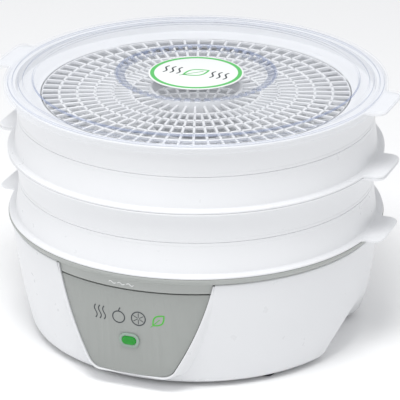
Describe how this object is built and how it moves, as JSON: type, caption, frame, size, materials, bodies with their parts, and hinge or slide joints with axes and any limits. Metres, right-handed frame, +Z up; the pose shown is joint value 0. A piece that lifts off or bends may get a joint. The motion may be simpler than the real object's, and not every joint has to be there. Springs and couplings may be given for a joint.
{
  "type": "food dehydrator",
  "caption": "Round stacking food dehydrator: fan and heater base with grey front panel, reversible drying trays with a gridded floor, clear vented lid.",
  "frame": {"origin": "on the surface that the rubber feet stand on, on the axis of the round stack", "axes": "+Z up along the axis of the stack, the front panel faces -Y, the lifting tabs point to +X and -X"},
  "size_m": [0.3522, 0.3268, 0.2289],
  "materials": {
    "white_shell": "satin moulded white plastic",
    "tray_plastic": "satin moulded translucent white plastic",
    "clear_lid": "clear moulded plastic",
    "grey_plastic": "fine-textured grey plastic",
    "label_white": "gloss white printed medallion",
    "bezel_grey": "gloss grey-green plastic",
    "lens_green": "translucent green lens",
    "led_green": "moulded lamp",
    "board_green": "printed circuit board",
    "black_plastic": "moulded black plastic",
    "foot_rubber": "matte black rubber",
    "zinc_steel": "zinc-plated steel",
    "lamination_steel": "stacked steel laminations",
    "copper_coil": "enamelled copper winding under tape",
    "duct_aluminium": "rolled aluminium sheet",
    "heater_steel": "heat-darkened steel tube",
    "terminal_beige": "moulded terminal block",
    "lead_silicone": "silicone-insulated lead"
  },
  "bodies": {
    "base": {"base_shell": "white_shell", "deck": "grey_plastic", "front_panel": "grey_plastic", "indicator_bezel": "bezel_grey", "indicator_lens": "lens_green", "indicator_board": "board_green", "indicator_led": "led_green", "bottom_cover": "black_plastic", "cover_screws": "zinc_steel", "rubber_feet": "foot_rubber", "motor_bracket": "zinc_steel", "motor_coil": "copper_coil", "lower_bearing_bracket": "zinc_steel", "upper_bearing_bracket": "zinc_steel", "motor_stator": "lamination_steel", "motor_screws": "zinc_steel", "air_duct": "duct_aluminium", "heater_element": "heater_steel", "heater_support": "zinc_steel", "limit_thermostat": "black_plastic", "thermal_fuse": "zinc_steel", "outlet_grille": "grey_plastic", "cord_gland": "black_plastic", "terminal_block": "terminal_beige", "lead_to_thermostat": "lead_silicone", "lead_to_fuse": "lead_silicone", "lead_to_motor": "lead_silicone", "lead_to_indicator": "lead_silicone"},
    "fan": {"fan_rotor": "black_plastic", "motor_shaft": "zinc_steel", "rotor_core": "lamination_steel"},
    "tray_1": {"tray_1": "tray_plastic", "tray_1_grid": "tray_plastic"},
    "tray_2": {"tray_2": "tray_plastic", "tray_2_grid": "tray_plastic"},
    "tray_3": {"tray_3": "tray_plastic", "tray_3_grid": "tray_plastic"},
    "tray_4": {"tray_4": "tray_plastic", "tray_4_grid": "tray_plastic"},
    "lid": {"lid": "clear_lid", "lid_label": "label_white"}
  },
  "joints": [
    {"name": "fan_spin", "type": "hinge", "parent": "base", "child": "fan", "pos_m": [0, 0, 0.05], "axis": [0, 0, 1], "continuous": true},
    {"name": "tray_1_lift", "type": "slide", "parent": "base", "child": "tray_1", "axis": [0, 0, 1], "range_m": [0, 0.06]},
    {"name": "tray_2_lift", "type": "slide", "parent": "tray_1", "child": "tray_2", "axis": [0, 0, 1], "range_m": [0, 0.06]},
    {"name": "tray_3_lift", "type": "slide", "parent": "tray_2", "child": "tray_3", "axis": [0, 0, 1], "range_m": [0, 0.06]},
    {"name": "tray_4_lift", "type": "slide", "parent": "tray_3", "child": "tray_4", "axis": [0, 0, 1], "range_m": [0, 0.06]},
    {"name": "lid_lift", "type": "slide", "parent": "tray_4", "child": "lid", "axis": [0, 0, 1], "range_m": [0, 0.06]}
  ]
}
